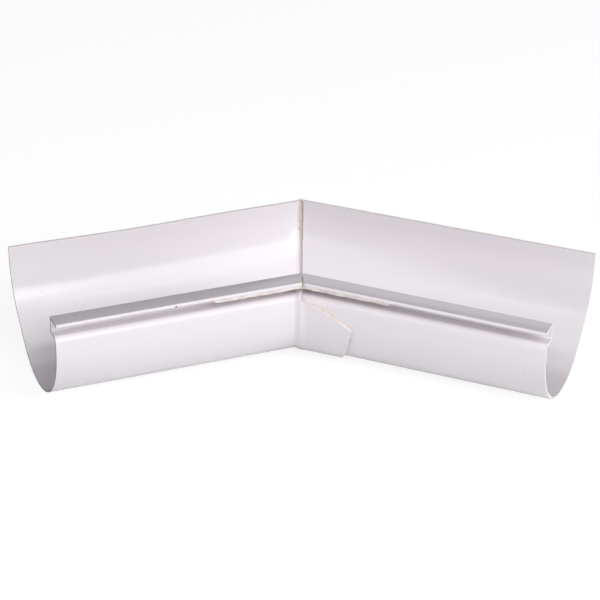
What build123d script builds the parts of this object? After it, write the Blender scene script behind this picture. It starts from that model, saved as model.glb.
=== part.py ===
# Internal gutter angle: two plastic gutter arms, mitred and lapped at a 135 degree inside corner.
# Each arm is one bent sheet: a plain high back, a round trough and a beaded front with a clip recess.
# The left arm's sheet runs on round the corner as a lap tab that is cemented outside the right arm.
# The origin is under the middle of the fitting, +X along its length, +Y towards the back, +Z up.
import os
from math import asin, atan2, cos, degrees, hypot, radians, sin, sqrt, tan

from build123d import *

os.makedirs("parts", exist_ok=True)

# Plan of the corner
corner_angle = 135.0  # between the two arms, in degrees
arm_length = 185.0  # along the lip, from the mitre to the cut end
mitre_gap = 0.6  # left open between the two bead ends

# Section of the gutter
gutter_width = 125.0  # lip edge to the back's outer face
wall = 2.0
front_setback = 2.5  # front wall behind the lip edge
back_lean = 17.5  # how far the back lies beyond the trough's full round
front_upright = 2.8  # straight stretch of the front wall above the trough
shoulder_radius = 9.0
recess_height = 9.5  # open groove between the ledge and the flange
bead_width = 16.0
bead_corner = 1.2
lip_drop = 2.6
back_rise = 5.0  # back's top above the bead's
back_upright = 7.0  # straight stretch under the back's top
back_bend = 60.0  # outer radius between the flank and the upright back

# Lap joint
cement_film = 0.35  # between the two sheets where they lap
cement_clearance = 0.05  # between cement and sheet
flare_run = 5.0  # stretch before the mitre in which the left arm swells by one wall
tab_reach = 36.4  # mitre to the tab's corner, square to the mitre
tab_end_slant = 13.5  # the tab's cut end against the mitre, in degrees
tab_back_reach = 28.0  # mitre to the cut end where it runs parallel, under the trough and up the back
tab_start_drop = 3.4  # shoulder top to the tab's edge at the mitre
tab_corner_drop = 20.9  # shoulder top to the tab's corner
tab_bulge = 1.8  # how far the tab's slanting edge bows upwards
tab_back_drop = 6.0  # back's top to the tab's level edge behind it
cement_squeeze = 1.6  # width of cement that shows beyond the tab
seam_width = 1.6  # stretch before the mitre that the seam's cement covers
seam_smear = 2.4  # cement wiped over the right arm's edge
seam_proud = 0.3  # cement standing inside the seam
seam_sweep = 40.0  # how far round the shoulder the seam's cement runs, in degrees

# Bead joiner: the bent strip under both flanges
joiner_leg = 67.0  # along the lip, from the mitre
joiner_thickness = 4.0
joiner_setback = 0.2  # behind the lip's inner face
joiner_back_gap = 0.3  # in front of the round inside the bead's corner

# Half the turn of the corner, the way the right arm runs, and the sheet's outset where it laps
turn = radians(90 - corner_angle / 2)
right_along = (cos(turn), -sin(turn), 0)
lap_outset = cement_film + wall

# Where the part's own frame lies from the mitre's lip corner
front_reach = arm_length * sin(turn)
back_reach = (gutter_width + lap_outset) / cos(turn)
mid_depth = (back_reach - front_reach) / 2

# Heights of the section, stacked from the trough's floor
bowl_radius = (gutter_width - front_setback - back_lean) / 2
shoulder_start = bowl_radius + front_upright
shoulder_height = shoulder_start + shoulder_radius
bead_height = shoulder_height + recess_height + wall
back_height = bead_height + back_rise
bend_height = back_height - back_upright
shoulder_depth = front_setback + shoulder_radius

# The flank is the straight that touches both the trough's round and the back's bend
centre_run = gutter_width - back_bend - front_setback - bowl_radius
centre_rise = bend_height - bowl_radius
centre_gap = hypot(centre_run, centre_rise)
flank_slope = atan2(centre_rise, centre_run) + asin((bowl_radius - back_bend) / centre_gap)
flank_length = sqrt(centre_gap**2 - (bowl_radius - back_bend) ** 2)

# The joiner fills the recess from the lip nearly to the bead's upright
joiner_width = bead_width - 2 * wall - bead_corner - joiner_setback - joiner_back_gap


def place(x, y):
    """A point on the section's zero height, given in plan from the mitre's lip corner."""
    return (x, y - mid_depth, lap_outset)


def arm_plane(side, run):
    """The plane square to an arm at a run along its lip; side is 1 for right and -1 for left.

    Its x points to the back, its y points up, and its z points to the right along the arm."""
    return Plane(
        origin=place(side * run * cos(turn), -run * sin(turn)),
        x_dir=(side * sin(turn), cos(turn), 0),
        z_dir=(cos(turn), -side * sin(turn), 0),
    )


def mitre_plane(x):
    """The plane parallel to the mitre at x, with its own x to the back and its y up."""
    return Plane(origin=place(x, -abs(x) * tan(turn)), x_dir=(0, 1, 0), z_dir=(1, 0, 0))


def beyond_tab(margin):
    """The corners, in plan from the lip's mitre, of all that lies beyond the tab's cut end and a margin.

    The cut slants inwards from the tab's corner, then runs parallel to the mitre."""
    slant = radians(tab_end_slant)
    inwards = Vector(-sin(slant), cos(slant))
    corner = Vector(tab_reach, -tab_reach * tan(turn)) + Vector(cos(slant), sin(slant)) * margin
    back_x = tab_back_reach + margin
    meeting = corner + inwards * ((corner.X - back_x) / sin(slant))
    front = corner - inwards * gutter_width
    far = 2 * gutter_width
    return [(front.X, front.Y), (meeting.X, meeting.Y), (back_x, far), (far, far), (far, front.Y)]


def front_view():
    """The right arm's front elevation, with its x along the lip from the mitre and its y up."""
    return Plane(origin=place(0, 0), x_dir=right_along, z_dir=(-sin(turn), -cos(turn), 0))


def skin(outset, sweep=90):
    """A curve from the back's top round the trough and part of the shoulder, set out from the outer face."""
    back = gutter_width + outset
    front = front_setback - outset
    slope = degrees(flank_slope)
    Line((back, back_height), (back, bend_height))
    bend = JernArc((back, bend_height), (0, -1), back_bend + outset, slope - 90)
    flank = Line(bend @ 1, bend @ 1 + (bend % 1) * flank_length)
    bowl = JernArc(flank @ 1, flank % 1, bowl_radius + outset, -90 - slope)
    Line(bowl @ 1, (front, shoulder_start))
    return JernArc((front, shoulder_start), (0, 1), shoulder_radius + outset, -sweep)


def bead(lift):
    """The ledge, the bead's upright, its flange and its lip; the ledge lifts where the sheet laps."""
    ledge_top = shoulder_height + lift
    flange_under = bead_height - wall
    lip_low = bead_height - lip_drop
    FilletPolyline(
        (shoulder_depth, ledge_top),
        (bead_width - wall, ledge_top),
        (bead_width - wall, flange_under),
        (wall, flange_under),
        radius=bead_corner,
    )
    Polyline((wall, flange_under), (wall, lip_low), (0, lip_low))
    FilletPolyline(
        (0, lip_low),
        (0, bead_height),
        (bead_width, bead_height),
        (bead_width, ledge_top - wall),
        (shoulder_depth, ledge_top - wall),
        radius=bead_corner,
    )


def sheet_section(outset):
    """The whole sheet in section, with its trough and ledge set out by an outset."""
    with BuildSketch() as section:
        with BuildLine():
            skin(outset)
            skin(outset - wall)
            bead(outset)
            Line((gutter_width + outset, back_height), (gutter_width + outset - wall, back_height))
        make_face()
    return section.sketch


def trough_band(inner, outer, sweep=90):
    """A band between two outsets, from the back's top round the trough to part way round the shoulder."""
    with BuildSketch() as band:
        with BuildLine():
            outer_end = skin(outer, sweep) @ 1
            inner_end = skin(inner, sweep) @ 1
            Line(outer_end, inner_end)
            Line((gutter_width + inner, back_height), (gutter_width + outer, back_height))
        make_face()
    return band.sketch


def on_mitre(sketch):
    """A square section as the slanting plane of the mitre cuts it."""
    return scale(sketch, by=(1 / cos(turn), 1, 1), mode=Mode.PRIVATE)


def straight_arm(side, start_x):
    """One arm's sheet from its cut end to the plane parallel to the mitre at start_x."""
    overrun = arm_length + gutter_width
    with BuildPart() as arm:
        with BuildSketch(arm_plane(side, arm_length)):
            add(sheet_section(0))
        extrude(amount=-side * overrun)
        keep = Keep.TOP if side > 0 else Keep.BOTTOM
        split(bisect_by=mitre_plane(start_x), keep=keep)
    return arm.part


def lap_sheet(inner, outer, margin):
    """A sheet round the outside of the right arm, cut to the tab's outline plus a margin."""
    reach = tab_reach / cos(turn)
    back_edge = lap_outset + back_height - tab_back_drop + margin
    edge_start = (0, shoulder_height - tab_start_drop + margin)
    edge_end = (reach, shoulder_height - tab_corner_drop + margin)
    edge_mid = (reach / 2, (edge_start[1] + edge_end[1]) / 2 + tab_bulge)
    with BuildPart() as lap:
        with BuildSketch(arm_plane(1, -gutter_width)):
            add(trough_band(inner, outer))
        extrude(amount=gutter_width + 2 * reach)
        split(bisect_by=mitre_plane(0), keep=Keep.TOP)
        split(bisect_by=Plane.XY.offset(back_edge), keep=Keep.BOTTOM)
        with BuildSketch(Plane(origin=place(0, 0))):
            with BuildLine():
                Polyline(beyond_tab(margin), close=True)
            make_face()
        extrude(amount=gutter_width, both=True, mode=Mode.SUBTRACT)
        with BuildSketch(front_view()):
            with BuildLine():
                edge = ThreePointArc(edge_start, edge_mid, edge_end)
                tail = Line(edge @ 1, edge @ 1 + (edge % 1) * reach)
                top = back_height + margin
                before = -reach / 4
                Polyline(tail @ 1, ((tail @ 1).X, top), (before, top), (before, edge_start[1]), edge_start)
            make_face()
        extrude(amount=gutter_width, both=True, mode=Mode.SUBTRACT)
    return lap.part


# Right arm: a straight length, mitred at its inner end
with BuildPart() as right_arm:
    add(straight_arm(1, mitre_gap))

# Left arm: the same length, swelling before the mitre and running on as the lap tab
with BuildPart() as left_arm:
    add(straight_arm(-1, -flare_run))
    with BuildSketch(mitre_plane(-flare_run)):
        add(on_mitre(sheet_section(0)))
    with BuildSketch(mitre_plane(0)):
        add(on_mitre(sheet_section(lap_outset)))
    loft(ruled=True)
    add(lap_sheet(cement_film, lap_outset, 0))

# Lap cement: the film between the tab and the right arm, squeezed out past the tab's edge
with BuildPart() as lap_cement:
    add(lap_sheet(cement_clearance, cement_film - cement_clearance, cement_squeeze))
    split(bisect_by=mitre_plane(mitre_gap), keep=Keep.TOP)

# Seam cement: a fillet from the swelling up to the right arm's raw end, wiped a little way over its face
with BuildPart() as seam_cement:
    swelling = lap_outset * (1 - seam_width / flare_run) - wall - 2 * cement_clearance
    proud_face = -wall - seam_proud
    fillet_start = trough_band(swelling - seam_proud, swelling, seam_sweep)
    fillet_end = trough_band(proud_face, cement_film - cement_clearance, seam_sweep)
    smear = trough_band(proud_face, -wall - cement_clearance, seam_sweep)
    with BuildSketch(mitre_plane(-seam_width)):
        add(on_mitre(fillet_start))
    with BuildSketch(mitre_plane(0)):
        add(on_mitre(fillet_end))
    loft(ruled=True)
    with BuildSketch(mitre_plane(0)):
        add(on_mitre(fillet_end))
    extrude(amount=mitre_gap / cos(turn), dir=right_along)
    with BuildSketch(mitre_plane(0)):
        add(on_mitre(smear))
    extrude(amount=seam_smear, dir=right_along)

# Bead joiner: one bent strip cemented up under both flanges, behind their lips
with BuildPart() as bead_joiner:
    with BuildLine():
        leg_end = (joiner_leg * cos(turn), -joiner_leg * sin(turn))
        Polyline(place(-leg_end[0], leg_end[1]), place(0, 0), place(*leg_end))
    with BuildSketch(arm_plane(-1, joiner_leg)):
        with Locations((wall + joiner_setback, bead_height - wall)):
            Rectangle(joiner_width, joiner_thickness, align=(Align.MIN, Align.MAX))
    sweep(transition=Transition.RIGHT)

left_arm.part.label = "left_arm"
right_arm.part.label = "right_arm"
lap_cement.part.label = "lap_cement"
seam_cement.part.label = "seam_cement"
bead_joiner.part.label = "bead_joiner"

export_step(left_arm.part, "parts/left_arm.step")
export_step(right_arm.part, "parts/right_arm.step")
export_step(lap_cement.part, "parts/lap_cement.step")
export_step(seam_cement.part, "parts/seam_cement.step")
export_step(bead_joiner.part, "parts/bead_joiner.step")
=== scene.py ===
# %% [markdown]
# # Internal gutter angle
# A fabricated corner for a plastic rain gutter. Two lengths of one white extrusion are mitred, the
# sheet of the left one laps round the outside of the right one, and everything is held with solvent
# cement. The CAD model is loaded first: its solids already have the right size and place. The sheets,
# the strip and the seam are then made again as smooth surfaces from the same sizes, because what the
# eye notices on such a part is soft: the swelling before the mitre, the fold, the wiped cement.

import bmesh
import bpy
import numpy as np
from mathutils import Matrix, Quaternion, Vector


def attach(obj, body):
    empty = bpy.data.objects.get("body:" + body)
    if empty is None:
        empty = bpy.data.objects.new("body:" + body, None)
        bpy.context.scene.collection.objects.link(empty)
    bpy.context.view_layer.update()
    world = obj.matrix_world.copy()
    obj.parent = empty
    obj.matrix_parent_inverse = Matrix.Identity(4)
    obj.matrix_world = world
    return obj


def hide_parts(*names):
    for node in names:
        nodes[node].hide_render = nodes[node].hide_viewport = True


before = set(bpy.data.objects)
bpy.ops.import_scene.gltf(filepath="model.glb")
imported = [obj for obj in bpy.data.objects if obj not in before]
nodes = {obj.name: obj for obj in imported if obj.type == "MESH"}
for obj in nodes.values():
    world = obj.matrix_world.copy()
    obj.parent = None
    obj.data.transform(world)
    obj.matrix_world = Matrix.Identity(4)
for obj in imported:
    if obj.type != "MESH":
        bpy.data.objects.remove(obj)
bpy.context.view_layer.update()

# %% [markdown]
# ## The gutter's section
# A gutter is one sheet bent in section, so one measure round the bend, the girth, finds any point of
# it. Girth starts at the top of the shoulder under the bead and goes down the front, round the trough
# and up the back. The other side of the shoulder is the bead: a ledge, an upright, a flat flange and a
# lip. Depth runs from the lip's edge to the back, and height from the trough's floor.
#
# The section could be a drawn curve that is extruded. A formula is better here, because the tab, the
# cement and the seam all lie on the same sheet and can ask it for their places.

# %% Sizes of the section and the corner
MM = 0.001
TURN = np.radians(22.5)  # half the turn of a 135 degree corner
ARM_LENGTH = 185.0 * MM
GUTTER_WIDTH = 125.0 * MM
WALL = 2.0 * MM
CEMENT_FILM = 0.35 * MM
LAP_OUTSET = CEMENT_FILM + WALL
FRONT_SETBACK = 2.5 * MM
FRONT_UPRIGHT = 6.3 * MM
SHOULDER_RADIUS = 5.5 * MM
BOWL_RADIUS = 52.5 * MM
BACK_BEND = 60.0 * MM
BACK_UPRIGHT = 7.0 * MM
BACK_HEIGHT = 80.8 * MM
BEAD_HEIGHT = 75.8 * MM
BEAD_WIDTH = 16.0 * MM
BEAD_CORNER = 1.2 * MM
LIP_DROP = 2.2 * MM
SHOULDER_DEPTH = FRONT_SETBACK + SHOULDER_RADIUS
SHOULDER_HEIGHT = BOWL_RADIUS + FRONT_UPRIGHT + SHOULDER_RADIUS
MID_DEPTH = ((GUTTER_WIDTH + LAP_OUTSET) / np.cos(TURN) - ARM_LENGTH * np.sin(TURN)) / 2
print("shoulder's top, mm:", round(SHOULDER_HEIGHT / MM, 1))
print("middle of the part, mm back:", round(MID_DEPTH / MM, 2))

# %% The sheet as straights and arcs
CENTRE_RUN = GUTTER_WIDTH - BACK_BEND - FRONT_SETBACK - BOWL_RADIUS
CENTRE_RISE = BACK_HEIGHT - BACK_UPRIGHT - BOWL_RADIUS
CENTRE_GAP = np.hypot(CENTRE_RUN, CENTRE_RISE)
FLANK_SLOPE = np.arctan2(CENTRE_RISE, CENTRE_RUN) + np.arcsin((BOWL_RADIUS - BACK_BEND) / CENTRE_GAP)
FLANK_LENGTH = np.sqrt(CENTRE_GAP**2 - (BOWL_RADIUS - BACK_BEND) ** 2)
TOP, FRONT, BACK = np.pi / 2, np.pi, 2 * np.pi
FLANK = 1.5 * np.pi + FLANK_SLOPE
FACING = np.array([TOP, FRONT, FRONT, FLANK, FLANK, BACK, BACK])
RADII = np.array([SHOULDER_RADIUS, 0, BOWL_RADIUS, 0, BACK_BEND, 0])
STRAIGHTS = np.array([0, FRONT_UPRIGHT, 0, FLANK_LENGTH, 0, BACK_UPRIGHT])
KNOTS = np.concatenate([[0], np.cumsum(RADII * np.diff(FACING) + STRAIGHTS)])
GIRTH = KNOTS[-1]
print("girth of the sheet from shoulder to back:", round(GIRTH / MM, 1), "mm")


def outward(angle):
    """The unit vector, as depth and height, that faces outwards at an angle."""
    return np.stack([np.cos(angle), np.sin(angle)], axis=-1)


def onward(angle):
    """The unit vector along the sheet: the outward one turned a quarter on."""
    return outward(angle + np.pi / 2)


ARC_STEPS = RADII[:, None] * np.diff(outward(FACING), axis=0) + STRAIGHTS[:, None] * onward(FACING[:-1])
STARTS = np.cumsum(np.vstack([[SHOULDER_DEPTH, SHOULDER_HEIGHT], ARC_STEPS]), axis=0)


def skin_at(girth, outset):
    """Depth and height at a girth: the start of its straight or arc, plus the way along the straight or
    radius times the change of the outward vector, plus the outset along the outward vector."""
    girth, outset = np.broadcast_arrays(girth, outset)
    part = np.clip(np.searchsorted(KNOTS, girth, side="right") - 1, 0, len(RADII) - 1)
    angle = np.interp(girth, KNOTS, FACING)
    radius = RADII[part][..., None]
    along = np.where(RADII[part] > 0, 0, girth - KNOTS[part])[..., None]
    swing = radius * (outward(angle) - outward(FACING[part]))
    return STARTS[part] + swing + along * onward(FACING[part]) + outset[..., None] * outward(angle)


# %% [markdown]
# The bead's corners are all square with a small round, as the die left them. Its inside and outside are
# two lines with the same number of points, so that rungs between the two can close the cut ends.

# %% The bead
STEPS_A_CORNER = 6
LIP_EDGE_ROUND = 0.3 * MM


def rounded_path(corners, radii):
    """Points along a line of square corners: each corner is a quarter round, whose points are its
    centre, less the way out times cosine, plus the way in times sine, times the radius."""
    corners = np.asarray(corners)
    ways = np.diff(corners, axis=0)
    ways = ways / np.linalg.norm(ways, axis=1, keepdims=True)
    swing = np.linspace(0, np.pi / 2, STEPS_A_CORNER + 1)[None, :, None]
    inward, away = ways[:-1, None], ways[1:, None]
    radius = np.asarray(radii)[:, None, None]
    centre = corners[1:-1, None] - inward * radius + away * radius
    rounds = centre - away * radius * np.cos(swing) + inward * radius * np.sin(swing)
    return np.vstack([corners[:1], rounds.reshape(-1, 2), corners[-1:]])


def bead_lines(lift):
    """The bead's inside and outside from the lip's edge to the shoulder; the ledge is lifted."""
    ledge = SHOULDER_HEIGHT + lift
    low, under = BEAD_HEIGHT - LIP_DROP, BEAD_HEIGHT - WALL
    inside = [(WALL, low), (WALL, under), (BEAD_WIDTH - WALL, under), (BEAD_WIDTH - WALL, ledge),
              (SHOULDER_DEPTH, ledge)]
    outside = [(0, low), (0, BEAD_HEIGHT), (BEAD_WIDTH, BEAD_HEIGHT), (BEAD_WIDTH, ledge - WALL),
               (SHOULDER_DEPTH, ledge - WALL)]
    return (rounded_path(inside, [LIP_EDGE_ROUND, BEAD_CORNER, BEAD_CORNER]),
            rounded_path(outside, [BEAD_CORNER, BEAD_CORNER, BEAD_CORNER]))


print("bead drawn with", len(bead_lines(0)[0]), "points a side")

# %% [markdown]
# ## From section to corner
# Both arms meet in the mitre plane, x = 0, so a point is placed by its distance from that plane and its
# depth and height in the section. The arms could be straight extrusions cut by the plane with a
# Boolean, but that leaves ragged faces just where the light catches the fold. Here the rows of points
# lie in the mitre from the start. Where the sheet folds instead of being cut, the plan's sharp corner
# is swapped for a parabola that joins both sides without a kink.

# %% Placing a point
def smooth(share):
    """Eases from 0 to 1 with level ends: three times the square less twice the cube."""
    share = np.clip(share, 0, 1)
    return share * share * (3 - 2 * share)


def place(x, section, softness=0.0):
    """The point at x from the mitre. In plan the sheet lies at depth / cos less |x| tan; within the
    softness s of the mitre, |x| becomes x x / 2 s + s / 2, which has the same slope at s."""
    section = np.asarray(section)
    x = np.broadcast_to(x, section.shape[:-1])
    reach = np.maximum(softness, 1e-9)
    bent = np.where(np.abs(x) < reach, x * x / (2 * reach) + reach / 2, np.abs(x))
    y = section[..., 0] / np.cos(TURN) - bent * np.tan(TURN) - MID_DEPTH
    return np.stack([x, y, section[..., 1] + LAP_OUTSET], axis=-1)


def run_of(x, depth):
    """How far along the arm's lip a point lies: its way past the mitre, less what its depth takes."""
    return (np.abs(x) - depth * np.sin(TURN)) / np.cos(TURN)


def x_of(run, depth):
    """The other way round: depth times sine plus run times cosine."""
    return depth * np.sin(TURN) + run * np.cos(TURN)


print("cut end at the lip:", np.round(place(x_of(ARM_LENGTH, 0.0), [0.0, BEAD_HEIGHT]) / MM, 2), "mm")

# %% [markdown]
# ## Making a mesh from patches
# A piece is a handful of patches, each a grid of points with a flat position for its pattern and a
# finish. Patches share their border points, so merging them closes the piece. Solidify could make the
# wall from one face, but two faces from one formula let the wall lean, swell and end as the real one.

# %% Patches to a piece
MERGE_WITHIN = 0.002 * MM
SHARP_ABOVE = np.radians(38)
PLAIN, SAWN, SHADED_END = 0, 1, 2  # places in a piece's list of finishes


def patch(points, flat, finish=PLAIN):
    """One grid of points, its unrolled places and the number of its finish."""
    return np.asarray(points, float), np.broadcast_to(flat, (*points.shape[:2], 2)), finish


def grid_faces(rows, columns, start):
    """Four corners for each cell: the point, its neighbour, the one diagonally on, and the one below."""
    number = start + np.arange(rows * columns).reshape(rows, columns)
    corners = [number[:-1, :-1], number[:-1, 1:], number[1:, 1:], number[1:, :-1]]
    return np.stack(corners, axis=-1).reshape(-1, 4)


def raw_mesh(name, patches):
    """All patches in one mesh, with the unrolled places as its UV map."""
    points = np.concatenate([p.reshape(-1, 3) for p, _, _ in patches])
    flat = np.concatenate([f.reshape(-1, 2) for _, f, _ in patches])
    starts = np.cumsum([0] + [p.shape[0] * p.shape[1] for p, _, _ in patches])
    faces = [grid_faces(*p.shape[:2], s) for (p, _, _), s in zip(patches, starts)]
    finishes = np.concatenate([np.full(len(f), k) for f, (_, _, k) in zip(faces, patches)])
    faces = np.concatenate(faces)
    mesh = bpy.data.meshes.new(name)
    mesh.from_pydata(points, [], faces.tolist())
    mesh.uv_layers.new(name="sheet_flat").data.foreach_set("uv", flat[faces.ravel()].ravel())
    mesh.polygons.foreach_set("material_index", finishes.astype(np.int32))
    return mesh


def make_piece(name, patches, finishes, node=None, bevel=0.0):
    mesh = raw_mesh(name, patches)
    work = bmesh.new()
    work.from_mesh(mesh)
    bmesh.ops.remove_doubles(work, verts=work.verts, dist=MERGE_WITHIN)
    bmesh.ops.dissolve_degenerate(work, edges=work.edges, dist=MERGE_WITHIN / 2)
    bmesh.ops.recalc_face_normals(work, faces=work.faces)
    open_edges = sum(not e.is_manifold for e in work.edges)
    if work.calc_volume(signed=True) < 0:
        bmesh.ops.reverse_faces(work, faces=work.faces)
    volume = round(work.calc_volume() * 1e6, 2)
    print(name, "faces:", len(work.faces), "open edges:", open_edges, "volume, cm3:", volume)
    work.to_mesh(mesh)
    work.free()
    mesh.shade_smooth()
    mesh.set_sharp_from_angle(angle=SHARP_ABOVE)
    for finish in finishes:
        mesh.materials.append(finish)
    piece = bpy.data.objects.new(name, mesh)
    bpy.context.scene.collection.objects.link(piece)
    if bevel:
        rounding = piece.modifiers.new("edge_rounding", "BEVEL")
        rounding.width = bevel
        rounding.segments = 2
        rounding.limit_method = "ANGLE"
        rounding.angle_limit = SHARP_ABOVE
    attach(piece, "root")
    if node:
        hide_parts(node)
    return piece


print("a grid of 3 by 3 points has", len(grid_faces(3, 3, 0)), "faces")

# %% [markdown]
# ## Materials
# The arms are unplasticised PVC, extruded through a polished die and calibrated: white, hard and
# glossy, with faint lines along the run where the die left them and a slow ripple from the haul-off.
# Both show only in the reflections, so they are bump, and read the sheet's unrolled map, whose first
# number is the run and second the girth. Real die lines are finer; here they are 1.3 mm apart, so that
# they show. The colour hardly varies: a few specks, painted shade that greys the faces turned straight
# up, and one dark spot on the left lip.

# %% Colour and node helpers
MIX_FIRST, MIX_SECOND, MIXED = 6, 7, 2  # a Mix node's sockets for colours


def linear(hex_colour):
    """sRGB hex to the linear colour that shaders use: the sRGB curve undone, channel by channel."""
    srgb = np.array([int(hex_colour[i:i + 2], 16) for i in (0, 2, 4)]) / 255
    curve = np.where(srgb <= 0.04045, srgb / 12.92, ((srgb + 0.055) / 1.055) ** 2.4)
    return (*curve.tolist(), 1.0)


def cells(*sizes):
    """The scale that gives a pattern's cells these sizes in metres: one over each."""
    return [1 / size for size in sizes]


def add_node(tree, kind, inputs=None, stops=None, **settings):
    """Adds one node, applies its settings, and sets or links its inputs by name or number. Stops are
    those of a colour ramp, each a place and a hex colour."""
    node = tree.nodes.new(kind)
    for name, value in settings.items():
        setattr(node, name, value)
    for key, value in (inputs or {}).items():
        if isinstance(value, bpy.types.NodeSocket):
            tree.links.new(value, node.inputs[key])
        else:
            node.inputs[key].default_value = value
    if stops:
        elements = node.color_ramp.elements
        while len(elements) < len(stops):
            elements.new(0.5)
        for element, (at, colour) in zip(elements, stops):
            element.position = at
            element.color = linear(colour)
    return node


def new_material(name):
    """An empty material with its output node, ready for a shader."""
    material = bpy.data.materials.new(name)
    material.use_nodes = True
    tree = material.node_tree
    tree.nodes.clear()
    return material, tree, add_node(tree, "ShaderNodeOutputMaterial")


print("the sheet's white in linear light:", np.round(linear("F1ECF1")[:3], 3))

# %% Extruded white uPVC
# The third colour is painted shade for faces turned straight up; the fourth is a dark spot.
WHITE, SPECK, TOP_SHADE, DARK_SPOT = "F1ECF1", "C9C2BC", "B5ABB5", "6B6264"
DARK_SPOT_AT = (-96.5 * MM, -37.7 * MM)  # run and girth, on the left lip


def extruded_pvc():
    """Gloss over near white. Colour: specks 14 mm apart over white, painted shade where the normal's z is
    over 0.9, and a dark spot within 0.9 mm of its place. Normal: die lines 1.3 mm apart, then ripples 45
    mm long."""
    material, tree, output = new_material("extruded_white_upvc")
    own = add_node(tree, "ShaderNodeTexCoord")
    flat = add_node(tree, "ShaderNodeUVMap", uv_map="sheet_flat").outputs["UV"]
    die = add_node(tree, "ShaderNodeMapping", {"Vector": flat, "Scale": cells(300 * MM, 1.3 * MM, 1)})
    lines = add_node(tree, "ShaderNodeTexNoise", {"Vector": die.outputs[0], "Scale": 1.0, "Detail": 2.0})
    haul = add_node(tree, "ShaderNodeMapping", {"Vector": flat, "Scale": cells(45 * MM, 30 * MM, 1)})
    ripple = add_node(tree, "ShaderNodeTexNoise", {"Vector": haul.outputs[0], "Scale": 1.0, "Detail": 1.0})
    fine = add_node(tree, "ShaderNodeBump",
                    {"Height": lines.outputs["Fac"], "Strength": 0.25, "Distance": 0.012 * MM})
    slow = add_node(tree, "ShaderNodeBump",
                    {"Height": ripple.outputs["Fac"], "Strength": 0.5, "Distance": 0.25 * MM,
                     "Normal": fine.outputs["Normal"]})
    spread = add_node(tree, "ShaderNodeMapping",
                      {"Vector": own.outputs["Object"], "Scale": cells(14 * MM, 14 * MM, 14 * MM)})
    specks = add_node(tree, "ShaderNodeTexVoronoi",
                      {"Vector": spread.outputs[0], "Scale": 1.0, "Randomness": 1.0})
    white = add_node(tree, "ShaderNodeValToRGB", {"Fac": specks.outputs["Distance"]},
                     stops=[(0.02, SPECK), (0.035, WHITE), (1.0, WHITE)])
    # Painted shade: faces turned straight up are mixed up to 40 % of the way to grey.
    facing = add_node(tree, "ShaderNodeSeparateXYZ", {0: own.outputs["Normal"]})
    level = add_node(tree, "ShaderNodeMapRange",
                     {"Value": facing.outputs["Z"], "From Min": 0.9, "From Max": 1.0, "To Min": 0.0,
                      "To Max": 0.4})
    top_shaded = add_node(tree, "ShaderNodeMix",
                     {"Factor": level.outputs[0], MIX_FIRST: white.outputs["Color"],
                      MIX_SECOND: linear(TOP_SHADE)}, data_type="RGBA")
    # A dark spot on the left lip, full within 0.5 mm of its place and gone at 0.9 mm.
    away = add_node(tree, "ShaderNodeVectorMath", {0: flat, 1: (*DARK_SPOT_AT, 0)}, operation="DISTANCE")
    near = add_node(tree, "ShaderNodeMapRange",
                    {"Value": away.outputs["Value"], "From Min": 0.5 * MM, "From Max": 0.9 * MM,
                     "To Min": 1.0, "To Max": 0.0})
    spotted = add_node(tree, "ShaderNodeMix",
                       {"Factor": near.outputs[0], MIX_FIRST: top_shaded.outputs[MIXED],
                        MIX_SECOND: linear(DARK_SPOT)}, data_type="RGBA")
    shader = add_node(tree, "ShaderNodeBsdfPrincipled",
                      {"Base Color": spotted.outputs[MIXED], "Roughness": 0.16, "IOR": 1.53,
                       "Normal": slow.outputs["Normal"]})
    tree.links.new(shader.outputs["BSDF"], output.inputs["Surface"])
    return material


PVC = extruded_pvc()
print("sheet material:", PVC.name)

# %% [markdown]
# A saw leaves the edge of the sheet matt and a little creamier, with its tooth marks 0.6 mm apart. The
# left arm's outer end gets a darker grey copy of that finish: painted shade. Solvent cement dries to a
# cream film, half glossy and lumpy, that turns brown where it is thick or old. The strip under the
# flanges is a softer PVC, cream and half matt, scraped by hand. One function makes all four, because
# each is a mottled colour with a finer grain, and only sizes and colours differ.

# %% Matt and mottled plastics
def mottled(name, stops, blotch, roughness, grain, depth):
    """A colour ramp over noise of one size, and a bump of a finer grain, both on object coordinates."""
    material, tree, output = new_material(name)
    where = add_node(tree, "ShaderNodeTexCoord").outputs["Object"]
    wide = add_node(tree, "ShaderNodeMapping", {"Vector": where, "Scale": cells(blotch, blotch, blotch)})
    patchy = add_node(tree, "ShaderNodeTexNoise", {"Vector": wide.outputs[0], "Scale": 1.0, "Detail": 3.0})
    close = add_node(tree, "ShaderNodeMapping", {"Vector": where, "Scale": cells(grain, grain, grain)})
    rough = add_node(tree, "ShaderNodeTexNoise", {"Vector": close.outputs[0], "Scale": 1.0, "Detail": 2.0})
    colour = add_node(tree, "ShaderNodeValToRGB", {"Fac": patchy.outputs["Fac"]}, stops=stops)
    bump = add_node(tree, "ShaderNodeBump",
                    {"Height": rough.outputs["Fac"], "Strength": 0.6, "Distance": depth})
    shader = add_node(tree, "ShaderNodeBsdfPrincipled",
                      {"Base Color": colour.outputs["Color"], "Roughness": roughness, "IOR": 1.5,
                       "Normal": bump.outputs["Normal"]})
    tree.links.new(shader.outputs["BSDF"], output.inputs["Surface"])
    return material


SAW_CUT = mottled("saw_cut_upvc", [(0.3, "EEE4E0"), (0.7, "F7F1EE")],
                  blotch=3 * MM, roughness=0.45, grain=0.6 * MM, depth=0.05 * MM)
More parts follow.
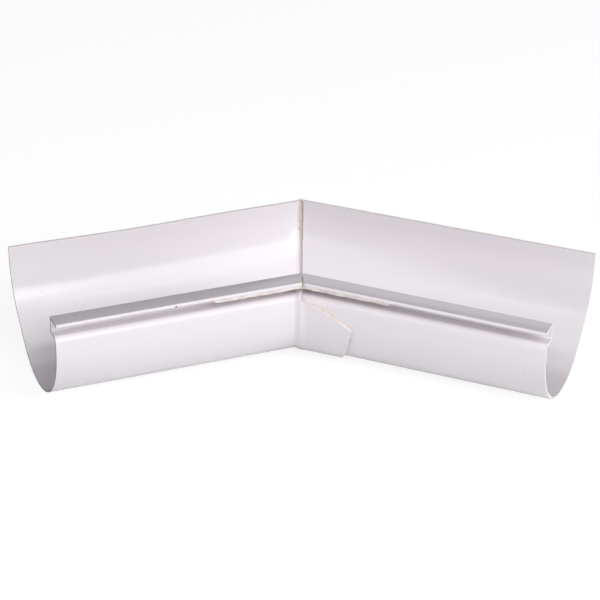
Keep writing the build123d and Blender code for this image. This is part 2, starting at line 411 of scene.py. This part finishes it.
# Painted shade: a darker grey copy of the saw cut, for the left arm's outer end.
SHADED_CUT = mottled("shaded_saw_cut_upvc", [(0.3, "8C8587"), (0.7, "B3ABAE")],
                    blotch=4 * MM, roughness=0.5, grain=0.6 * MM, depth=0.05 * MM)
CEMENT = mottled("dried_solvent_cement", [(0.3, "DACCC7"), (0.5, "E9DFDB"), (0.7, "F4EEEB")],
                 blotch=3 * MM, roughness=0.35, grain=1.2 * MM, depth=0.12 * MM)
JOINER = mottled("cream_joiner_pvc", [(0.35, "E6DBD6"), (0.6, "F5EEEA")],
                 blotch=6 * MM, roughness=0.35, grain=1.0 * MM, depth=0.06 * MM)
print("materials:", *[m.name for m in (SAW_CUT, SHADED_CUT, CEMENT, JOINER)])

# %% [markdown]
# ## The two arms
# Rows of points stand parallel to the mitre near it and fan out to the square cut end. The left arm's
# sheet swells by one wall and a cement film before the mitre; the bead keeps its place but for its
# ledge. The swelling could be sculpted, but as a lift added to the section's outset it keeps the wall's
# thickness. A heat-formed fold is soft, so the outer face turns over a few millimetres.

# %% Rows and columns
FLARE_RUN = 5.5 * MM
NEAR_ROWS = np.linspace(0, FLARE_RUN, 12)
FAR_ROWS = 30
SHOULDER_COLUMNS = 12  # columns of the sheet above the tab's upper edge
TAB_START = 7.15 * MM
TAB_BACK = GIRTH - 6 * MM  # the tab stops level, 6 mm below the back's top
TAB_SHARES = np.linspace(0, 1, 129)
TAB_GIRTHS = TAB_START + (TAB_BACK - TAB_START) * TAB_SHARES
GIRTHS = np.concatenate([
    np.linspace(0, TAB_START, SHOULDER_COLUMNS + 1)[:-1], TAB_GIRTHS, np.linspace(TAB_BACK, GIRTH, 6)[1:],
])
FOLD_OUTSIDE, FOLD_INSIDE = 4.5 * MM, 2.0 * MM
SOFT_FROM, SOFT_OVER = 2 * MM, 8 * MM  # the fold grows soft from this girth on, over this length


def softness(girth, most):
    """No softness at the cut bead, and all of it from a little way round the shoulder."""
    return most * smooth((girth - SOFT_FROM) / SOFT_OVER)


def fanned(depth, near):
    """Distances from the mitre: near rows are parallel to it, later ones go a share of the way to the cut
    end, which lies at depth times sine plus length times cosine."""
    share = np.linspace(0, 1, FAR_ROWS + 1)[1:, None]
    level = np.broadcast_to(near[:, None], (len(near), len(depth)))
    return np.vstack([level, (1 - share) * near[-1] + share * x_of(ARM_LENGTH, depth)])


print("columns round the sheet:", len(GIRTHS), "rows along an arm:", len(NEAR_ROWS) + FAR_ROWS)

# %% An arm's faces
BEAD_INSIDE, BEAD_OUTSIDE = bead_lines(0)
LIFTED_INSIDE, LIFTED_OUTSIDE = bead_lines(LAP_OUTSET)
BEAD_COLUMNS = len(BEAD_INSIDE)


def bead_girth(line):
    """Minus the way along the bead's line from the shoulder, so that girth runs on over the bead."""
    steps = np.linalg.norm(np.diff(line, axis=0), axis=1)
    return -np.concatenate([np.cumsum(steps[::-1])[::-1], [0]])


def arm_face(line, lifted, depth_in, lift, near, side, fold, sag):
    """One face of an arm: the bead's line and then the sheet at an inset, for each row's lift. The near
    distances are those of the first rows, which are then fanned out, or a grid of every point's own."""
    lift = lift[:, None]
    bead = line + (lift / LAP_OUTSET)[..., None] * (lifted - line)
    sheet = skin_at(GIRTHS[None, :], lift - depth_in)
    section = np.concatenate([bead[:, :-1], sheet], axis=1)
    girth = np.concatenate([bead_girth(line)[:-1], GIRTHS])
    x = fanned(section[-1, :, 0], near) if near.ndim == 1 else near
    run = run_of(x, section[..., 0])
    section = section + sag(np.clip(run / ARM_LENGTH, 0, 1), section[..., 0], girth)
    flat = np.stack([run * side, np.broadcast_to(girth, run.shape)], axis=-1)
    return place(x * side, section, softness(girth, fold)), flat


def rim(first, second, pick, finish=SAWN):
    """The strip between two faces along one row or column."""
    (one, flat_one), (two, flat_two) = first, second
    return patch(np.stack([one[pick], two[pick]]), np.stack([flat_one[pick], flat_two[pick]]), finish)


print("columns round the bead:", BEAD_COLUMNS)

# %% [markdown]
# Extrusions are never quite true. The left arm's back edge sags a millimetre between its ends, and the
# right arm's front drops a little towards its cut end. Both are small moves added to the section, so
# that the swelling, the rims and the pattern follow them.

# %% Left arm
LEFT_SAG = 1.1 * MM
SAG_FROM = 0.7 * GIRTH


def left_sag(share, depth, girth):
    """The back's top edge lowered by a sine squared of the way along, fading out down the back."""
    high = smooth((girth - SAG_FROM) / (GIRTH - SAG_FROM))
    drop = -LEFT_SAG * np.sin(np.pi * share) ** 2 * high
    return np.stack([np.zeros_like(share), drop], axis=-1)


def lift_of(x):
    """The swelling: all of the lap's outset at the mitre, none past the flare."""
    return LAP_OUTSET * smooth(1 - np.abs(x) / FLARE_RUN)


LIFTS = np.concatenate([lift_of(NEAR_ROWS), np.zeros(FAR_ROWS)])
left_inside = arm_face(BEAD_OUTSIDE, LIFTED_OUTSIDE, WALL, LIFTS, NEAR_ROWS, -1, FOLD_INSIDE, left_sag)
left_outside = arm_face(BEAD_INSIDE, LIFTED_INSIDE, 0, LIFTS, NEAR_ROWS, -1, FOLD_OUTSIDE, left_sag)
print("left arm's grid:", left_inside[0].shape)

# %% [markdown]
# ## The lap tab
# The tab is the left arm's own sheet carried on round the right arm. Its upper edge slants down the
# front in a slight bow. Its end was sawn at a slant while the sheet was flat, then square, and behind
# it stops level below the back's top. It shares the mitre row with the arm, so the two merge into one
# sheet, where a separate piece would show a seam. Two shares find a point of it: one from the mitre to
# the end, one from the front edge to the back edge.

# %% Tab outline
TAB_REACH = 36.4 * MM
TAB_END_SLANT = 0.13  # reach lost for each unit of girth
TAB_ROWS, ROWS_TOWARDS_MITRE = 41, 1.25
TAB_BACK_REACH = 28.0 * MM
TAB_START_DROP, TAB_CORNER_DROP, TAB_BULGE = 3.4 * MM, 20.9 * MM, 1.8 * MM


def front_edge(share):
    """The girth of the tab's upper edge at a share of its length: a straight fall with a parabola's bow,
    looked up on the outer face's heights."""
    height = SHOULDER_HEIGHT - TAB_START_DROP - (TAB_CORNER_DROP - TAB_START_DROP) * share
    height = height + 4 * TAB_BULGE * share * (1 - share)
    table = np.linspace(0, 0.4 * GIRTH, 400)
    return np.interp(-height, -skin_at(table, LAP_OUTSET)[:, 1], table)


TAB_CORNER = float(front_edge(1.0))


def cut_end(girth):
    """How far the tab reaches at a girth: the slanting saw cut, and no less than its square part."""
    return np.maximum(TAB_BACK_REACH, TAB_REACH - TAB_END_SLANT * (girth - TAB_CORNER))


def tab_face(outset, fold):
    """The tab's face at an outset: girth blends from the front edge to the back edge, and each line of
    equal share runs straight to its own cut end."""
    across = np.linspace(0, 1, TAB_ROWS)[:, None] ** ROWS_TOWARDS_MITRE
    edge = np.where(across == 0, TAB_START, front_edge(across))
    girth = (1 - TAB_SHARES) * edge + TAB_SHARES * TAB_BACK
    x = across * cut_end(girth[-1])
    section = skin_at(girth, outset)
    flat = np.stack([run_of(x, section[..., 0]), girth], axis=-1)
    return place(x, section, softness(girth, fold)), flat


tab_inside = tab_face(CEMENT_FILM, FOLD_INSIDE)
tab_outside = tab_face(LAP_OUTSET, FOLD_OUTSIDE)
print("tab's upper edge starts at girth", round(float(front_edge(np.array(0.0))) / MM, 2), "mm")

# %% Left arm and tab as one piece
EDGE_ROUND = 0.2 * MM
FIRST = BEAD_COLUMNS - 1 + SHOULDER_COLUMNS
LAST = FIRST + len(TAB_SHARES)
left_faces, tab_faces = (left_inside, left_outside), (tab_inside, tab_outside)
left_patches = [
    patch(*left_inside), patch(*left_outside), patch(*tab_inside), patch(*tab_outside),
    rim(*left_faces, np.s_[:, 0], PLAIN), rim(*left_faces, np.s_[:, -1]),
    # The left arm's outer end takes the painted-shade copy of the saw cut.
    rim(*left_faces, np.s_[-1, :], SHADED_END),
    rim(*left_faces, np.s_[0, :FIRST + 1]), rim(*left_faces, np.s_[0, LAST - 1:]),
    *[rim(*tab_faces, edge) for edge in (np.s_[:, 0], np.s_[:, -1], np.s_[-1, :])],
]
make_piece("left_arm_sheet", left_patches, [PVC, SAW_CUT, SHADED_CUT], "left_arm", bevel=EDGE_ROUND)

# %% [markdown]
# ## The right arm
# The right arm has the same section and was only sawn: square at one end and along the mitre at the
# other, where its raw edge shows in the seam. Its rows crowd towards the mitre, and the bead's corner
# there is rounded in plan with a slit that opens to the front, as a hand saw and a file leave it.

# %% Right arm
MITRE_GAP = 0.6 * MM
CORNER_ROUND = 1.8 * MM
SLIT_EXTRA, SLIT_FROM, SLIT_OVER = 0.6 * MM, 11 * MM, 5 * MM
RIGHT_DROP, DROP_FADES_AT = 1.6 * MM, 60 * MM
RIGHT_ROWS_TOWARDS_MITRE = 1.3


def right_drop(share, depth, girth):
    """The front lowered in step with the way along, fading out towards the trough's floor."""
    drop = -RIGHT_DROP * share * np.clip(1 - depth / DROP_FADES_AT, 0, 1)
    return np.stack([np.zeros_like(share), drop], axis=-1)


def right_rows(depth, is_bead):
    """Rows from the sawn mitre to the cut end. The slit opens towards the front of the bead, whose corner
    is rounded in plan: set back by radius less the root of radius squared less the rest squared."""
    short = np.where(is_bead, np.clip(CORNER_ROUND - depth, 0, CORNER_ROUND), 0)
    worn = np.where(is_bead, SLIT_EXTRA * smooth((SLIT_FROM - depth) / SLIT_OVER), 0)
    start = MITRE_GAP + worn + CORNER_ROUND - np.sqrt(CORNER_ROUND**2 - short**2)
    share = np.linspace(0, 1, len(NEAR_ROWS) + FAR_ROWS)[:, None] ** RIGHT_ROWS_TOWARDS_MITRE
    return (1 - share) * start + share * x_of(ARM_LENGTH, depth)


def right_face(line, depth_in):
    """One face of the right arm, which has no swelling and no fold."""
    depth = np.concatenate([line[:-1, 0], skin_at(GIRTHS, -depth_in)[:, 0]])
    rows = right_rows(depth, np.arange(len(depth)) < BEAD_COLUMNS - 1)
    return arm_face(line, line, depth_in, np.zeros(len(rows)), rows, 1, 0.0, right_drop)


right_inside = right_face(BEAD_OUTSIDE, WALL)
right_outside = right_face(BEAD_INSIDE, 0)
right_faces = (right_inside, right_outside)
right_patches = [
    patch(*right_inside), patch(*right_outside), rim(*right_faces, np.s_[:, 0], PLAIN),
    *[rim(*right_faces, edge) for edge in (np.s_[:, -1], np.s_[0, :], np.s_[-1, :])],
]
make_piece("right_arm_sheet", right_patches, [PVC, SAW_CUT], "right_arm", bevel=EDGE_ROUND)

# %% [markdown]
# ## Bead joiner
# A strip bent at the mitre and cemented up under both flanges. It was cut by hand, so its lower edge
# wanders and one end is rounded off. It is a rounded rectangle carried from end to end. A displaced box
# would need far more points to get the same edge.

# %% Joiner strip
JOINER_LEG, JOINER_THICKNESS, JOINER_WIDTH = 67.0 * MM, 4.6 * MM, 10.3 * MM
JOINER_FRONT = WALL + 0.2 * MM
JOINER_ROWS = 181
END_ROUND = 2.2 * MM
JOINER_TOP_ROUND, JOINER_LOW_ROUND = 0.3 * MM, 0.6 * MM


def wander(along, spacing, seed):
    """A random value from -1 to 1 every so often, eased from one to the next."""
    count = 400
    values = np.random.default_rng(seed).uniform(-1, 1, count)
    cell = np.floor(along / spacing).astype(int)
    part = smooth(along / spacing - cell)
    return values[cell % count] * (1 - part) + values[(cell + 1) % count] * part


def joiner_loop():
    """A rectangle with rounded corners, from the middle of its top round to there again."""
    top = BEAD_HEIGHT - WALL
    left, right = JOINER_FRONT, JOINER_FRONT + JOINER_WIDTH
    low, middle = top - JOINER_THICKNESS, (left + right) / 2
    corners = [(middle, top), (left, top), (left, low), (right, low), (right, top), (middle, top)]
    return rounded_path(corners, [JOINER_TOP_ROUND, JOINER_LOW_ROUND, JOINER_LOW_ROUND, JOINER_TOP_ROUND])


def joiner_points():
    """The loop carried from end to end; the strip's thickness at each row is scaled by its wander and, at
    the left end, by a quarter round."""
    loop = joiner_loop()
    share = np.linspace(-1, 1, JOINER_ROWS)[:, None]
    x = share * x_of(JOINER_LEG, loop[:, 0])
    run = share * JOINER_LEG
    left_end = np.clip(1 - (JOINER_LEG + run) / END_ROUND, 0, 1)
    worn = 0.05 * (1 + wander(run, 2.3 * MM, 3)) + 0.06 * (1 + wander(run, 9 * MM, 4))
    thick = np.sqrt(1 - 0.75 * left_end**2) - worn
    top = BEAD_HEIGHT - WALL
    section = np.stack([np.broadcast_to(loop[:, 0], x.shape), top - (top - loop[:, 1]) * thick], axis=-1)
    return place(x, section), np.stack([np.broadcast_to(run, x.shape), section[..., 1]], axis=-1)


def loop_cap(points, flat, row):
    """Closes a loop that starts in the middle of a side: rungs join its first half to its second."""
    half = points.shape[1] // 2 + 1
    rungs = np.stack([points[row, :half], points[row, ::-1][:half]])
    return patch(rungs, np.stack([flat[row, :half], flat[row, ::-1][:half]]))


strip, strip_flat = joiner_points()
joiner_patches = [patch(strip, strip_flat), loop_cap(strip, strip_flat, 0), loop_cap(strip, strip_flat, -1)]
make_piece("bead_joiner_strip", joiner_patches, [JOINER], "bead_joiner")

# %% [markdown]
# ## Cement in the seam
# Inside the corner the cement fills the step up to the right arm's sawn edge. Near the top it was wiped
# well over the left arm, and further down only a narrow line is left. It could be painted on the
# sheets, but cement has a body that catches the light. The piece is a skin with feathered edges: its
# upper and lower faces meet along both sides.

# %% Seam
SEAM_TOP, SEAM_FOOT = GIRTH - 0.3 * MM, 8.2 * MM
SEAM_GIRTHS = np.linspace(SEAM_TOP, SEAM_FOOT, 240)[:, None]
SEAM_SHARES = np.concatenate([-np.linspace(1, 0, 13) ** 1.3, np.linspace(0, 1, 9)[1:]])
SEAM_LEFT, SEAM_RIGHT, SEAM_WIPE, SEAM_PROUD = 1.1 * MM, 1.2 * MM, 2.5 * MM, 0.3 * MM
WIPE_GROWS, WIPE_ENDS, WIPE_FADES = 9 * MM, 31 * MM, 7 * MM  # ways down from the back's top


def seam_edges(girth):
    """How far the cement reaches to the left and right: a wide wipe in the top 30 mm, else a narrow line,
    both wandering."""
    down = GIRTH - girth
    wipe = smooth(down / WIPE_GROWS) * smooth((WIPE_ENDS - down) / WIPE_FADES)
    left = SEAM_LEFT + SEAM_WIPE * wipe * (1 + 0.25 * wander(down, 4 * MM, 8))
    left = left + 0.15 * MM * wander(down, 2 * MM, 9)
    right = SEAM_RIGHT + 0.3 * MM * wander(down, 5 * MM, 10) + 0.15 * MM * wander(down, 1.7 * MM, 11)
    return left, right


def seam_faces():
    """Both faces: the lower follows the sheets and steps from the left one to the right one over 0.6 mm,
    and the upper climbs to the right sheet's level and stands proud, most in the middle."""
    left, right = seam_edges(SEAM_GIRTHS)
    x = np.where(SEAM_SHARES < 0, SEAM_SHARES * left, SEAM_SHARES * right)
    over_right = smooth((x + 0.25 * MM) / (0.6 * MM))
    lower = (1 - over_right) * (lift_of(np.minimum(x, 0)) - WALL) - over_right * WALL
    proud = SEAM_PROUD * (1 - np.abs(SEAM_SHARES) ** 2) * (1 + 0.3 * wander(SEAM_GIRTHS, 3 * MM, 12))
    climb = smooth(1 + x / np.maximum(left, 1.2 * MM)) ** 2
    upper = np.where(x < 0, lower + climb * (-WALL - lower), -WALL) - proud
    soft = softness(SEAM_GIRTHS, FOLD_INSIDE) * (x < 0)
    girth = np.broadcast_to(SEAM_GIRTHS, x.shape)
    flat = np.stack([x, girth], axis=-1)
    return [(place(x, skin_at(girth, face), soft), flat) for face in (upper, np.maximum(lower, upper))]


seam_upper, seam_lower = seam_faces()
print("widest wipe, mm:", round(float(seam_edges(SEAM_GIRTHS)[0].max() / MM), 2))

# %% Seam finish
CLEAN_BELOW, CREAM_ABOVE = GIRTH - 36 * MM, GIRTH - 24 * MM
LINE_AT, LINE_HALF, LINE_FADED = 0.2 * MM, 0.15 * MM, 0.5 * MM  # the brown joint line, darker cement and painted crevice shade, measured across it
ALL_EDGES = (np.s_[0, :], np.s_[-1, :], np.s_[:, 0], np.s_[:, -1])


def seam_cement():
    """Nearly white, going cream in the wipe near the top, with a thin brown line down the joint: darker
    cement and painted shade of the crevice. The unrolled map gives the way across the joint and the girth."""
    material, tree, output = new_material("wiped_solvent_cement")
    flat = add_node(tree, "ShaderNodeUVMap", uv_map="sheet_flat").outputs["UV"]
    streaks = add_node(tree, "ShaderNodeMapping", {"Vector": flat, "Scale": cells(2.5 * MM, 5 * MM, 1)})
    noise = add_node(tree, "ShaderNodeTexNoise",
                     {"Vector": streaks.outputs[0], "Scale": 1.0, "Detail": 3.0})
    axes = add_node(tree, "ShaderNodeSeparateXYZ", {"Vector": flat})
    wiped = add_node(tree, "ShaderNodeMapRange",
                     {"Value": axes.outputs["Y"], "From Min": CLEAN_BELOW, "From Max": CREAM_ABOVE})
    clean = add_node(tree, "ShaderNodeValToRGB", {"Fac": noise.outputs["Fac"]},
                     stops=[(0.3, "ECE3E3"), (0.6, "F3ECEE")])
    cream = add_node(tree, "ShaderNodeValToRGB", {"Fac": noise.outputs["Fac"]},
                     stops=[(0.3, "CDBFB6"), (0.6, "EAE1DB")])
    body = add_node(tree, "ShaderNodeMix",
                    {"Factor": wiped.outputs[0], MIX_FIRST: clean.outputs["Color"],
                     MIX_SECOND: cream.outputs["Color"]}, data_type="RGBA")
    # Darker cement and painted crevice shade: a thin brown line down the joint.
    shifted = add_node(tree, "ShaderNodeMath", {0: axes.outputs["X"], 1: -LINE_AT}, operation="ADD")
    away = add_node(tree, "ShaderNodeMath", {0: shifted.outputs[0]}, operation="ABSOLUTE")
    line = add_node(tree, "ShaderNodeMapRange",
                    {"Value": away.outputs[0], "From Min": LINE_HALF, "From Max": LINE_FADED,
                     "To Min": 1.0, "To Max": 0.0})
    colour = add_node(tree, "ShaderNodeMix",
                      {"Factor": line.outputs[0], MIX_FIRST: body.outputs[MIXED],
                       MIX_SECOND: linear("AA9C96")}, data_type="RGBA")
    bump = add_node(tree, "ShaderNodeBump",
                    {"Height": noise.outputs["Fac"], "Strength": 0.5, "Distance": 0.2 * MM})
    shader = add_node(tree, "ShaderNodeBsdfPrincipled",
                      {"Base Color": colour.outputs[MIXED], "Roughness": 0.3, "IOR": 1.5,
                       "Normal": bump.outputs["Normal"]})
    tree.links.new(shader.outputs["BSDF"], output.inputs["Surface"])
    return material


seam_patches = [patch(*seam_upper), patch(*seam_lower)]
seam_patches += [rim(seam_upper, seam_lower, edge, PLAIN) for edge in ALL_EDGES]
make_piece("seam_cement_wipe", seam_patches, [seam_cement()], "seam_cement")

# %% [markdown]
# ## Cement squeezed out of the lap
# The CAD film between the sheets keeps its place and gets the cement's finish. When the tab was pressed
# home, a ridge came out along its sawn edges. It follows the tab's outline on the unrolled sheet, as
# half of a lumpy bead of cement, so it bends round the trough with the sheet under it.

# %% Squeeze-out ridge
RIDGE_WIDTH, RIDGE_HEIGHT, RIDGE_FOOT, RIDGE_TUCK = 0.75 * MM, 0.75 * MM, 0.06 * MM, 0.1 * MM


def tab_outline():
    """The outline as run and girth: along the front edge, then up the cut end from front to back."""
    share = np.linspace(0.03, 1, 90)
    edge = front_edge(share)
    first = np.stack([run_of(share * TAB_REACH, skin_at(edge, 0.0)[:, 0]), edge], axis=-1)
    girth = np.linspace(edge[-1], TAB_BACK, 260)[1:]
    second = np.stack([run_of(cut_end(girth), skin_at(girth, 0.0)[:, 0]), girth], axis=-1)
    return np.vstack([first, second])


def ridge_faces():
    """A quarter ellipse off the outline: sine times width across, cosine times height above the sheet."""
    line = tab_outline()
    way = np.gradient(line, axis=0)
    way /= np.linalg.norm(way, axis=1, keepdims=True)
    side = np.stack([way[:, 1], -way[:, 0]], axis=-1)
    steps = np.linalg.norm(np.diff(line, axis=0), axis=1)
    along = np.concatenate([[0], np.cumsum(steps)])[:, None]
    width = RIDGE_WIDTH + (0.3 * wander(along, 6 * MM, 14) + 0.2 * wander(along, 1.6 * MM, 15)) * MM
    height = RIDGE_HEIGHT + 0.35 * wander(along, 4 * MM, 16) * MM
    swing = np.linspace(0, np.pi / 2, 7)[None, :]
    out = np.concatenate([np.full_like(width, -RIDGE_TUCK), width * np.sin(swing)], axis=1)
    tall = np.concatenate([height, height * np.cos(swing)], axis=1)
    flat = line[:, None] + out[..., None] * side[:, None]
    faces = []
    for outset in (tall, np.minimum(tall, RIDGE_FOOT)):
        section = skin_at(flat[..., 1], outset)
        faces.append((place(x_of(flat[..., 0], section[..., 0]), section), flat))
    return faces


ridge_upper, ridge_lower = ridge_faces()
ridge_patches = [patch(*ridge_upper), patch(*ridge_lower)]
ridge_patches += [rim(ridge_upper, ridge_lower, edge, PLAIN) for edge in ALL_EDGES]
make_piece("lap_cement_ridge", ridge_patches, [CEMENT])
film = nodes["lap_cement"].data
film.materials.clear()
film.materials.append(CEMENT)
print("film between the sheets, finish:", film.materials[0].name)

# %% [markdown]
# ## Floor
# The part stands on an opal sheet lit from within, so its surroundings are white and it throws hardly
# a shadow. Such a sheet would also light the part's underside far more than a photograph shows. So the
# sheet is there for the camera alone, and a plain matt card under it gives the light that comes back up.

# %% Light table and card
def stage_surface(name, colour, glow):
    """A matt surface that also gives off an even light of its own."""
    material, tree, output = new_material(name)
    shader = add_node(tree, "ShaderNodeBsdfPrincipled", {
        "Base Color": linear(colour), "Roughness": 0.9, "Specular IOR Level": 0.0,
        "Emission Color": linear("FFFFFF"), "Emission Strength": glow,
    })
    tree.links.new(shader.outputs["BSDF"], output.inputs["Surface"])
    return material


def flat_square(name, half_side, height, finish):
    """One square face at a height, with its finish."""
    mesh = bpy.data.meshes.new(name)
    ways = np.array([(-1, -1, 0), (1, -1, 0), (1, 1, 0), (-1, 1, 0)])
    mesh.from_pydata(half_side * ways + np.array([0, 0, height]), [], [(0, 1, 2, 3)])
    mesh.materials.append(finish)
    thing = bpy.data.objects.new(name, mesh)
    bpy.context.scene.collection.objects.link(thing)
    return thing


TABLE_HALF, CARD_HALF, CARD_HEIGHT = 40.0, 4.0, -0.2 * MM
floor = flat_square("floor", TABLE_HALF, 0.0, stage_surface("opal_acrylic", "959595", 0.83))
floor.visible_diffuse = floor.visible_glossy = floor.visible_shadow = False
card = flat_square("bounce_card", CARD_HALF, CARD_HEIGHT, stage_surface("matt_white_card", "E7E7E7", 0.05))
card.visible_camera = False
print("stage:", floor.name, "and", card.name)

# %% [markdown]
# ## Camera
# Place, direction and lens come from fitting the model's long edges to the photograph's. The camera
# stands 1.6 m away with a long lens, so near parts look hardly larger than far ones.

# %% Camera
CAMERA_PLACE = np.array([-2.1, -1369.8, 765.9]) * MM + np.array([0, -MID_DEPTH, LAP_OUTSET])
CAMERA_YAW = np.radians(0.040)
CAMERA_PITCH = np.radians(27.203)
CAMERA_ROLL = np.radians(0.696)
FOCAL_PIXELS = 2111.3
PHOTO_PIXELS = 600
SENSOR = 36.0


def add_camera():
    """Looks along yaw and pitch, turned by roll; the lens is the focal length over the photo's width."""
    level = np.cos(CAMERA_PITCH)
    forward = Vector((np.sin(CAMERA_YAW) * level, np.cos(CAMERA_YAW) * level, -np.sin(CAMERA_PITCH)))
    right = forward.cross(Vector((0, 0, 1))).normalized()
    up = right.cross(forward)
    tilted_right = np.cos(CAMERA_ROLL) * right + np.sin(CAMERA_ROLL) * up
    tilted_up = np.cos(CAMERA_ROLL) * up - np.sin(CAMERA_ROLL) * right
    data = bpy.data.cameras.new("photo_camera")
    data.sensor_width = SENSOR
    data.sensor_fit = "HORIZONTAL"
    data.lens = FOCAL_PIXELS / PHOTO_PIXELS * SENSOR
    camera = bpy.data.objects.new("photo_camera", data)
    turn = Matrix((tilted_right, tilted_up, -forward)).transposed().to_4x4()
    camera.matrix_world = Matrix.Translation(Vector(CAMERA_PLACE)) @ turn
    bpy.context.scene.collection.objects.link(camera)
    bpy.context.scene.camera = camera
    print("lens:", round(data.lens, 1), "mm")


add_camera()

# %% [markdown]
# ## Light
# A glossy white part is lit by what it mirrors, so the studio is a dome of softboxes 3 m away. Each is
# given by its direction, its angular size and how bright its face is. Three stand in a row a third of
# the way up, from the front to the right, and their edges draw the line between light and dark on the
# back walls. Low ones at either side brighten the troughs. A small one behind gives the right flange its
# sheen, because a flat face seen at a low angle mirrors what stands beyond it.

# %% Softboxes
DOME = 3.0
SOFTBOXES = [  # name, azimuth right of the camera, elevation, roll, width and height in degrees, radiance
    ("main_right", 49, 33.6, 35, 25, 40, 2.95),
    ("front_right", 22.5, 34, 0, 22.5, 18, 4.12),
    ("front", 0, 34, 0, 22, 18, 3.54),
    ("low_right", 58, 12.5, 0, 21, 25, 4.6),
    ("side_right", 78, 30, 0, 20, 30, 0.62),
    ("low_left", -66, 11, 0, 25, 24, 1.77),
    ("middle_left", -60, 17, 0, 15, 16, 2.1),
    ("foot_left", -75, 4.5, 0, 30, 9, 2.32),
    ("strip_left", -46, 35, 0, 11, 50, 1.74),
    ("top_right", 48, 60, 0, 26, 20, 1.8),
    ("top_left", -48, 60, 0, 26, 20, 1.4),
    ("back_right", 120, 13, 0, 30, 26, 2.87),
    ("back_low", 174, 27, 0, 13, 14, 1.3),
]


def softbox(name, azimuth, elevation, roll, wide, tall, radiance):
    """An area light on the dome, facing the middle. Power is pi times its area times its radiance."""
    azimuth, elevation, roll, wide, tall = np.radians([azimuth, elevation, roll, wide, tall])
    level = np.cos(elevation)
    way = Vector((np.sin(azimuth) * level, -np.cos(azimuth) * level, np.sin(elevation)))
    data = bpy.data.lights.new(name, "AREA")
    data.shape = "RECTANGLE"
    data.size = 2 * DOME * np.sin(wide / 2)
    data.size_y = 2 * DOME * np.sin(tall / 2)
    data.energy = np.pi * data.size * data.size_y * radiance
    light = bpy.data.objects.new(name, data)
    turn = (-way).to_track_quat("-Z", "Y") @ Quaternion((0, 0, 1), roll)
    light.matrix_world = Matrix.Translation(DOME * way) @ turn.to_matrix().to_4x4()
    bpy.context.scene.collection.objects.link(light)
    return data.energy


print("softboxes, watts:", [round(softbox(*row)) for row in SOFTBOXES])

# %% Room
world = bpy.data.worlds.new("dark_studio")
bpy.context.scene.world = world
world.use_nodes = True
world.node_tree.nodes["Background"].inputs["Color"].default_value = (0, 0, 0, 1)
bpy.context.scene.view_settings.view_transform = "Standard"
print("world:", world.name)
